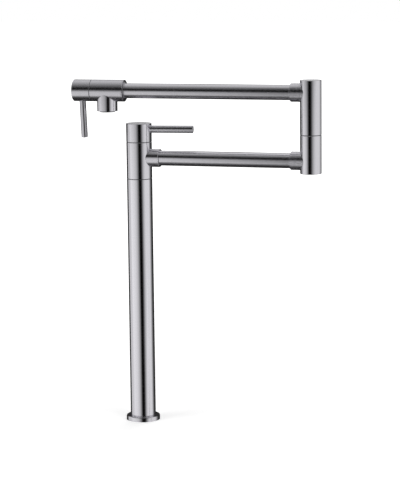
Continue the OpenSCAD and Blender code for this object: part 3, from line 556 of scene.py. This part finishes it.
def brushed_steel(family, axis, tone):
    """Brushed stainless steel for one family of pieces, with faced ends. Its tone makes a lighter or darker
    copy of the steel, as painted light and shade.
    """
    roughness, anisotropy = LONG_BRUSHED if axis[1] == "X" else ROUND_BRUSHED
    # The tone lightens or darkens the steel's colour: painted light and shade
    colour = [tone * c for c in STEEL]
    return turned_metal("brushed_steel_" + family, colour, roughness, axis, anisotropy, FACED)


def spring_steel():
    """Plain steel of the clips, screws and screen."""
    return turned_metal("spring_steel", (0.5, 0.5, 0.52), roughness=0.3, axis=COLUMN_AXIS, anisotropy=0.2)


def brass():
    """Machined brass of the inner fittings."""
    return turned_metal("brass", (0.78, 0.6, 0.32), roughness=0.28, axis=COLUMN_AXIS, anisotropy=0.4)


def rubber():
    """Matt black rubber of the seals."""
    return plain_stuff("rubber", (0.03, 0.03, 0.032), roughness=0.6)


def ceramic():
    """White ceramic of the valve discs."""
    return plain_stuff("ceramic", (0.86, 0.86, 0.83), roughness=0.2, grain=900.0, depth=0.00005, spread=0.02)


def glide_plastic():
    """Dark plastic of the glide rings and of the slip rings."""
    return plain_stuff(
        "glide_plastic", (0.06, 0.06, 0.065), roughness=0.45, grain=900.0, depth=0.0001, spread=0.15)


def aerator_plastic():
    """Pale plastic of the aerator's insert."""
    return plain_stuff(
        "aerator_plastic", (0.7, 0.71, 0.72), roughness=0.4, grain=700.0, depth=0.0001, spread=0.05)


def give(node, material):
    """Puts one material on a CAD node."""
    slots = frame["nodes"][node].data.materials
    slots.clear()
    slots.append(material)


def dress_nodes():
    """Gives every CAD node its material. Returns the materials by name."""
    steels = {}
    steel_of = {}
    for family, (axis, tone, nodes) in STEEL_NODES.items():
        steels[family] = brushed_steel(family, axis, tone)
        for node in nodes:
            steel_of[node] = steels[family]
    others = {
        "spring_steel": spring_steel(),
        "brass": brass(),
        "rubber": rubber(),
        "ceramic": ceramic(),
        "glide_plastic": glide_plastic(),
        "aerator_plastic": aerator_plastic(),
    }
    for part in frame["record"]["subparts"]:
        node, slot = part["node"], part["material_slot"]
        give(node, steel_of[node] if slot == "brushed_steel" else others[slot])
    return {**steels, **others}


def finish_piece(mesh, name, body, material):
    """Turns a bmesh into a smooth-shaded object that rides on a body."""
    bmesh.ops.recalc_face_normals(mesh, faces=mesh.faces)
    data = bpy.data.meshes.new(name)
    mesh.to_mesh(data)
    mesh.free()
    for face in data.polygons:
        face.use_smooth = True
    data.set_sharp_from_angle(angle=SHARP_ANGLE)
    data.materials.append(material)
    piece = link_object(name, data)
    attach(piece, body)


def join_rows(mesh, rows, closed):
    """Faces between rows of vertices, each a closed outline. A closed run joins the last to the first."""
    for i in range(len(rows) if closed else len(rows) - 1):
        row, after = rows[i], rows[(i + 1) % len(rows)]
        for j in range(len(row)):
            k = (j + 1) % len(row)
            mesh.faces.new((row[j], row[k], after[k], after[j]))


def add_arc(mesh, x, height, radius, middle_angle, half, steps):
    """A round wire bent round an arm's axis, half to each side of its middle. A full turn closes."""
    closed = half >= math.pi
    rows = []
    for i in range(steps if closed else steps + 1):
        angle = middle_angle - half + 2 * half * i / steps
        row = []
        for j in range(WIRE_SIDES):
            around = 2 * math.pi * j / WIRE_SIDES
            r = radius + WIRE_RADIUS * math.cos(around)
            along = x + WIRE_RADIUS * math.sin(around)
            row.append(mesh.verts.new((along, -r * math.cos(angle), height + r * math.sin(angle))))
        rows.append(row)
    join_rows(mesh, rows, closed)
    if not closed:
        mesh.faces.new(rows[0])
        mesh.faces.new(reversed(rows[-1]))


def collar_rings(name, body, collar, material):
    """Fine rings round a collar, from its outer end to the elbow's wall."""
    mesh = bmesh.new()
    height = middle(collar, Z)
    radius = half_width(collar, Z) - WIRE_SUNK
    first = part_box(collar)[0][X] + FIRST_RING
    rings = int((ELBOW_X - LAST_RING - first) / RING_PITCH) + 1
    for ring in range(rings):
        x = first + ring * RING_PITCH
        # Where the elbow's wall covers the collar's top and bottom, a ring is an arc in front and one behind
        wall = math.sqrt(max(0.0, ELBOW_RADIUS ** 2 - (ELBOW_X - x) ** 2))
        if wall == 0.0:
            add_arc(mesh, x, height, radius, 0.0, math.pi, TURN_STEPS)
        elif wall < radius:
            half = min(math.acos(wall / radius) + ARC_PAST_WALL, ARC_HALF_MOST)
            for middle_angle in (0.0, math.pi):
                add_arc(mesh, x, height, radius, middle_angle, half, ARC_STEPS)
    finish_piece(mesh, name, body, material)


def slip_ring(name, body, cap, seat, axis, recess, material):
    """The thin dark ring in the seam between a turning cap and its seat, lathed about their axis."""
    point, direction = axis
    way = WAYS[direction]
    along = UNIT[direction]
    side = Vector((0, 1, 0))
    other = along.cross(side)
    centre = Vector(point) - along * Vector(point).dot(along)
    cap_low, cap_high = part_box(cap)
    seat_low, seat_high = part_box(seat)
    near = min(cap_high[way], seat_high[way]) + SLIP_CLEARANCE
    far = max(cap_low[way], seat_low[way]) - SLIP_CLEARANCE
    outer = cap_high[Y] - recess
    shoulder = outer - SLIP_CHAMFER
    outline = [(SLIP_BORE, near), (shoulder, near), (outer, near + SLIP_CHAMFER),
               (outer, far - SLIP_CHAMFER), (shoulder, far), (SLIP_BORE, far)]
    mesh = bmesh.new()
    rows = []
    for i in range(TURN_STEPS):
        angle = 2 * math.pi * i / TURN_STEPS
        outward = side * math.cos(angle) + other * math.sin(angle)
        rows.append([mesh.verts.new(centre + outward * r + along * h) for r, h in outline])
    join_rows(mesh, rows, closed=True)
    finish_piece(mesh, name, body, material)


make_camera()
make_world()
make_floor()
studio_card("front_card", *FRONT_CARD, front_level)
studio_card("back_card", *BACK_CARD, back_level)
make_lamps()
materials = dress_nodes()
collar_rings("elbow_lower_collar_rings", "lower_arm", "elbow_lower_collar", materials["lower_arm"])
collar_rings("elbow_upper_collar_rings", "upper_arm", "elbow_upper_collar", materials["upper_arm"])
slip_ring("column_cap_slip_ring", "column_handle", "column_handle_cap", "swivel_sleeve", COLUMN_AXIS,
          COLUMN_SLIP_RECESS, materials["glide_plastic"])
slip_ring("spout_cap_slip_ring", "spout_handle", "spout_handle_cap", "spout_body", UPPER_ARM_AXIS,
          SPOUT_SLIP_RECESS, materials["glide_plastic"])
bpy.context.scene.view_settings.view_transform = "Standard"
